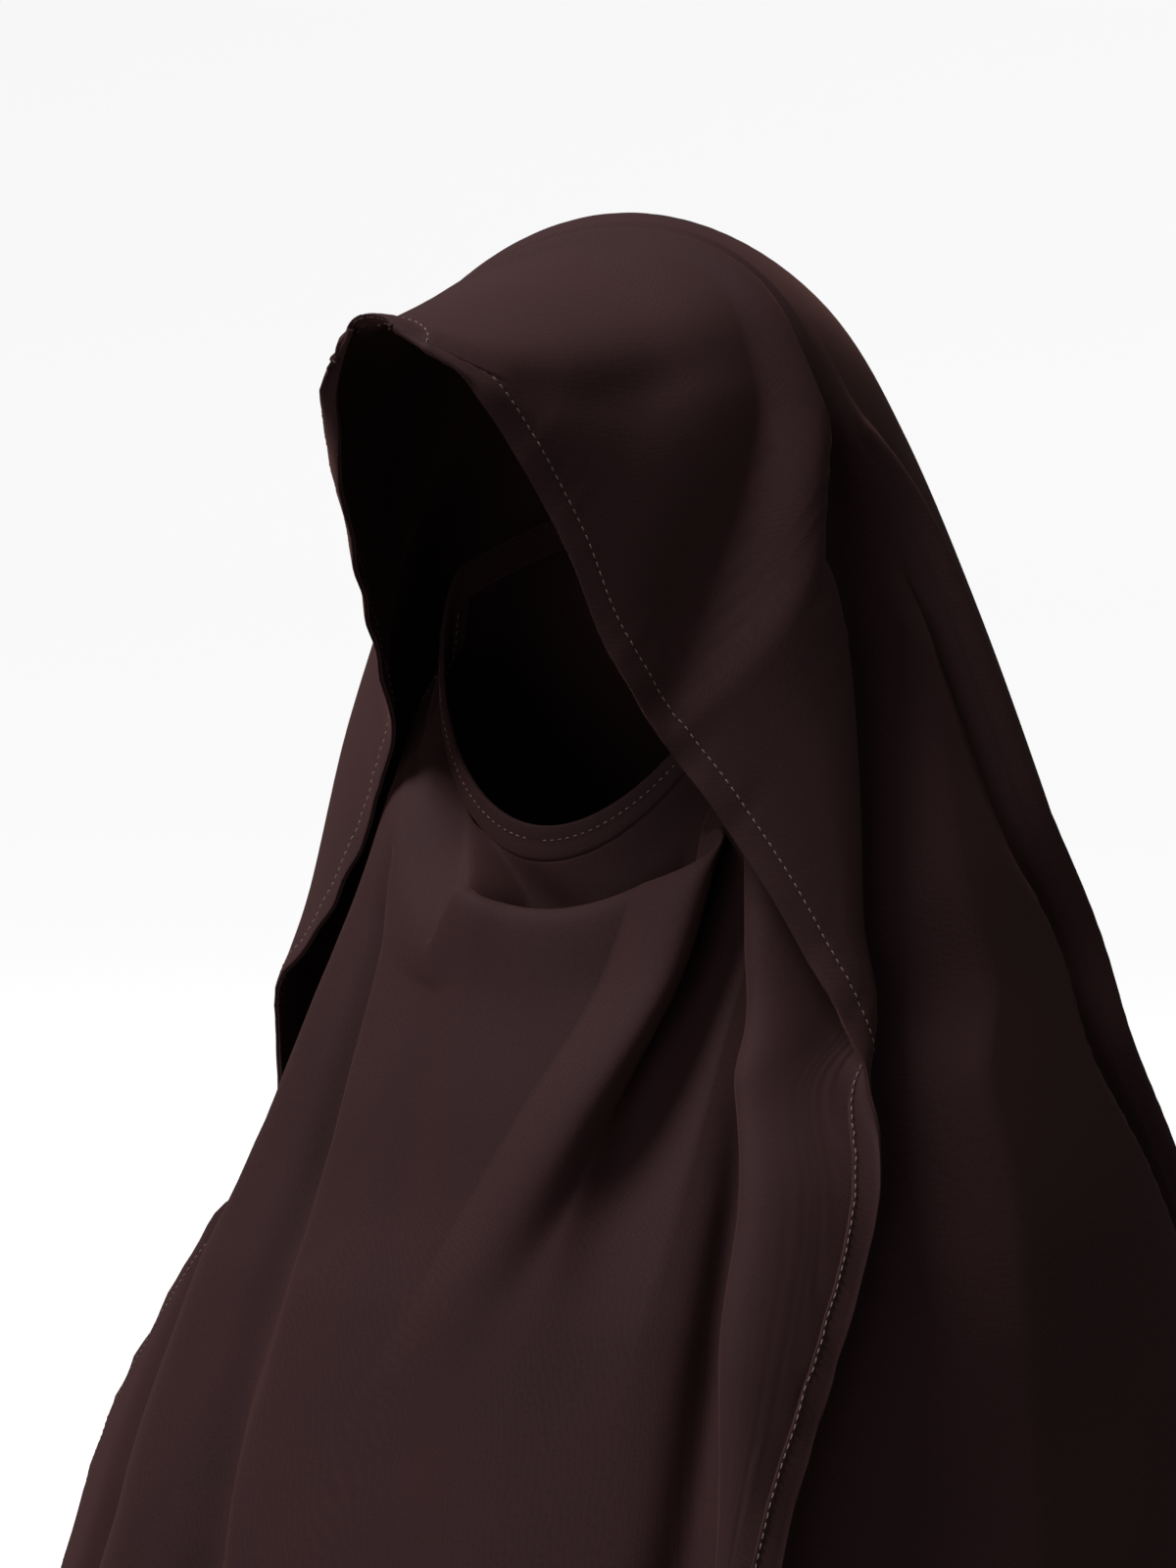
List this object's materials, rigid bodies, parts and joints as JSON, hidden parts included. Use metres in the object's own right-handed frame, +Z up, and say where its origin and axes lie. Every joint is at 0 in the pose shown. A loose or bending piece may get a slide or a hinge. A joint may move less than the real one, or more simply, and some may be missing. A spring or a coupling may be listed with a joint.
{
  "type": "khimar veil",
  "caption": "Hooded cloth veil with an open face edge and a draped chest panel hung from a chin band, held as it is worn.",
  "frame": {"origin": "underside of the hood's cloth at the top of the crown, where it sits on a head", "axes": "+Z up, the wearer faces -Y, +X is the wearer's left"},
  "size_m": [0.6095, 0.5864, 0.8992],
  "materials": {
    "crepe_cloth": "matte",
    "crepe_hem": "matte"
  },
  "bodies": {
    "root": {"veil": "crepe_cloth", "veil_hem": "crepe_hem", "chest_panel": "crepe_cloth", "panel_hem": "crepe_hem", "chin_band": "crepe_hem"}
  },
  "joints": []
}
